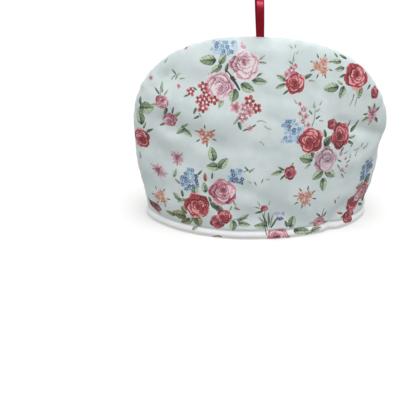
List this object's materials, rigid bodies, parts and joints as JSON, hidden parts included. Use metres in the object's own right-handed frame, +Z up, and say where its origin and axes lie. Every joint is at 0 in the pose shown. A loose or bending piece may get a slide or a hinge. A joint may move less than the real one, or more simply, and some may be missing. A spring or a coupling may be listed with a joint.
{
  "type": "tea cosy",
  "caption": "Dome-shaped padded tea cosy of rose-printed cotton that stands open on its hem over a teapot, with a ribbon hanging loop at the top.",
  "frame": {"origin": "middle of the hem opening, on the table", "axes": "+Z up to the hanging loop, -Y out of the front panel, +X towards the right side seam seen from the front"},
  "size_m": [0.3406, 0.1531, 0.3064],
  "materials": {
    "front_cotton": "plain-weave cotton, off-white, printed with roses, padded",
    "back_cotton": "plain-weave cotton, off-white, printed with roses, padded",
    "satin_ribbon": "wine-red satin ribbon with woven edges"
  },
  "bodies": {
    "root": {"front_panel": "front_cotton", "back_panel": "back_cotton", "hanging_loop": "satin_ribbon"}
  },
  "joints": []
}
